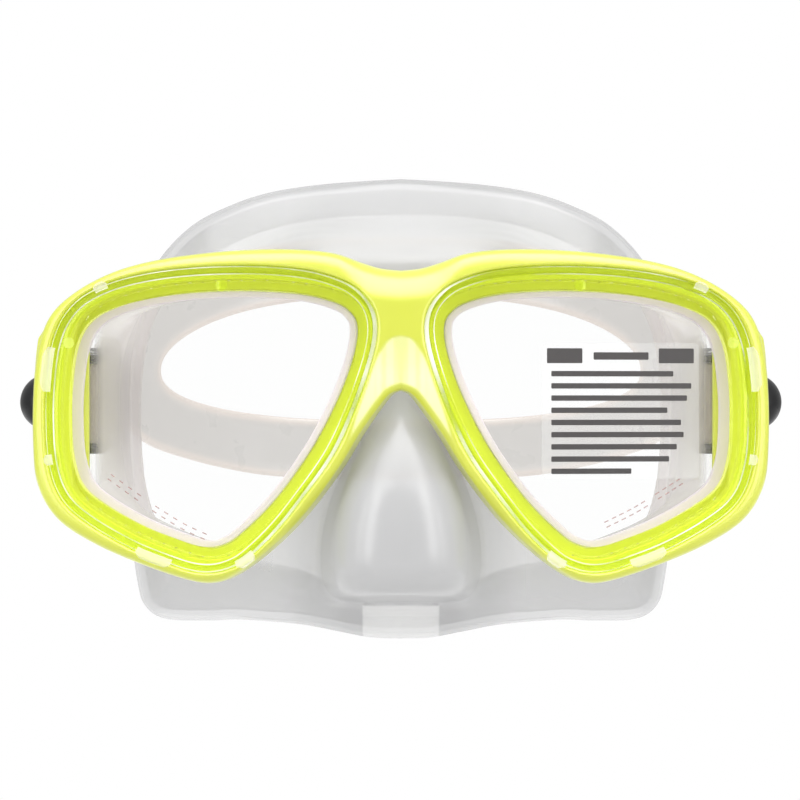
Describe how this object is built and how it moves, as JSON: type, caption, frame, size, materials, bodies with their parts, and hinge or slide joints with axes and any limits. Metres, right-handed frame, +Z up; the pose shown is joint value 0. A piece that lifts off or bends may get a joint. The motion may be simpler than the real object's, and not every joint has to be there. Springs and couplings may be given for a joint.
{
  "type": "snorkel mask",
  "caption": "Snorkelling mask with a lime-yellow frame, clear lens retainers, flat tempered windows, a translucent silicone face skirt with nose pocket, and a split strap on tilting buckles.",
  "frame": {"origin": "centre of the face seal: the plane of the skirt's rearmost points, where the mask rests on the wearer's temples", "axes": "+X to the right of somebody looking at the mask's windows, +Y from the windows towards the wearer's head, +Z up; left and right in names are as seen from the front"},
  "size_m": [0.1804, 0.1625, 0.1071],
  "materials": {
    "frame": "high-gloss lime-yellow moulded polycarbonate",
    "skirt": "translucent clear silicone, polished",
    "glass": "flat tempered glass",
    "clear": "clear moulded polycarbonate",
    "film": "thin translucent peel-off film with plain grey bars",
    "strap": "translucent silicone, satin",
    "keeper": "translucent silicone, satin",
    "black": "black moulded acetal, semi-gloss",
    "roller": "natural white acetal, satin",
    "steel": "stainless steel"
  },
  "bodies": {
    "mask": {"frame": "frame", "skirt": "skirt", "lens_left": "glass", "lens_right": "glass", "retainer_left": "clear", "retainer_right": "clear", "lens_film": "film"},
    "strap": {"strap": "strap"},
    "buckle_left": {"buckle_body_left": "black", "roller_axle_left": "steel", "lever_pin_left": "steel", "lever_spring_left": "steel", "wave_washer_left": "steel", "retaining_washer_left": "steel", "pivot_screw_left": "steel", "pivot_cap_left": "black"},
    "roller_left": {"strap_roller_left": "roller"},
    "lever_left": {"release_lever_left": "black"},
    "keeper_left": {"strap_keeper_left": "keeper"},
    "buckle_right": {"buckle_body_right": "black", "roller_axle_right": "steel", "lever_pin_right": "steel", "lever_spring_right": "steel", "wave_washer_right": "steel", "retaining_washer_right": "steel", "pivot_screw_right": "steel", "pivot_cap_right": "black"},
    "roller_right": {"strap_roller_right": "roller"},
    "lever_right": {"release_lever_right": "black"},
    "keeper_right": {"strap_keeper_right": "keeper"}
  },
  "joints": [
    {"name": "strap_tilt", "type": "hinge", "parent": "mask", "child": "strap", "pos_m": [0, -0.022, -0.0005], "axis": [1, 0, 0], "range_deg": [-25, 20]},
    {"name": "buckle_tilt_left", "type": "hinge", "parent": "mask", "child": "buckle_left", "pos_m": [-0.0831, -0.022, -0.0005], "axis": [1, 0, 0], "range_deg": [-25, 20]},
    {"name": "roller_spin_left", "type": "hinge", "parent": "buckle_left", "child": "roller_left", "pos_m": [-0.07435, -0.022, -0.0005], "axis": [0, -0.1011, 0.9949], "continuous": true},
    {"name": "lever_press_left", "type": "hinge", "parent": "buckle_left", "child": "lever_left", "pos_m": [-0.0824, -0.00857, 0.00086], "axis": [0, 0.1011, -0.9949], "range_deg": [0, 12], "stiffness_Nm_per_rad": 0.02, "springref_deg": -14.32},
    {"name": "keeper_slide_left", "type": "slide", "parent": "strap", "child": "keeper_left", "axis": [0, 0.9949, 0.1011], "range_m": [-0.0035, 0.0065]},
    {"name": "buckle_tilt_right", "type": "hinge", "parent": "mask", "child": "buckle_right", "pos_m": [0.0831, -0.022, -0.0005], "axis": [1, 0, 0], "range_deg": [-25, 20]},
    {"name": "roller_spin_right", "type": "hinge", "parent": "buckle_right", "child": "roller_right", "pos_m": [0.07435, -0.022, -0.0005], "axis": [0, -0.1011, 0.9949], "continuous": true},
    {"name": "lever_press_right", "type": "hinge", "parent": "buckle_right", "child": "lever_right", "pos_m": [0.0824, -0.00857, 0.00086], "axis": [0, -0.1011, 0.9949], "range_deg": [0, 12], "stiffness_Nm_per_rad": 0.02, "springref_deg": -14.32},
    {"name": "keeper_slide_right", "type": "slide", "parent": "strap", "child": "keeper_right", "axis": [0, 0.9949, 0.1011], "range_m": [-0.0035, 0.0065]}
  ],
  "couplings": [
    {"joint": "buckle_tilt_left", "follows": "strap_tilt", "ratio": 1},
    {"joint": "buckle_tilt_right", "follows": "strap_tilt", "ratio": 1}
  ]
}
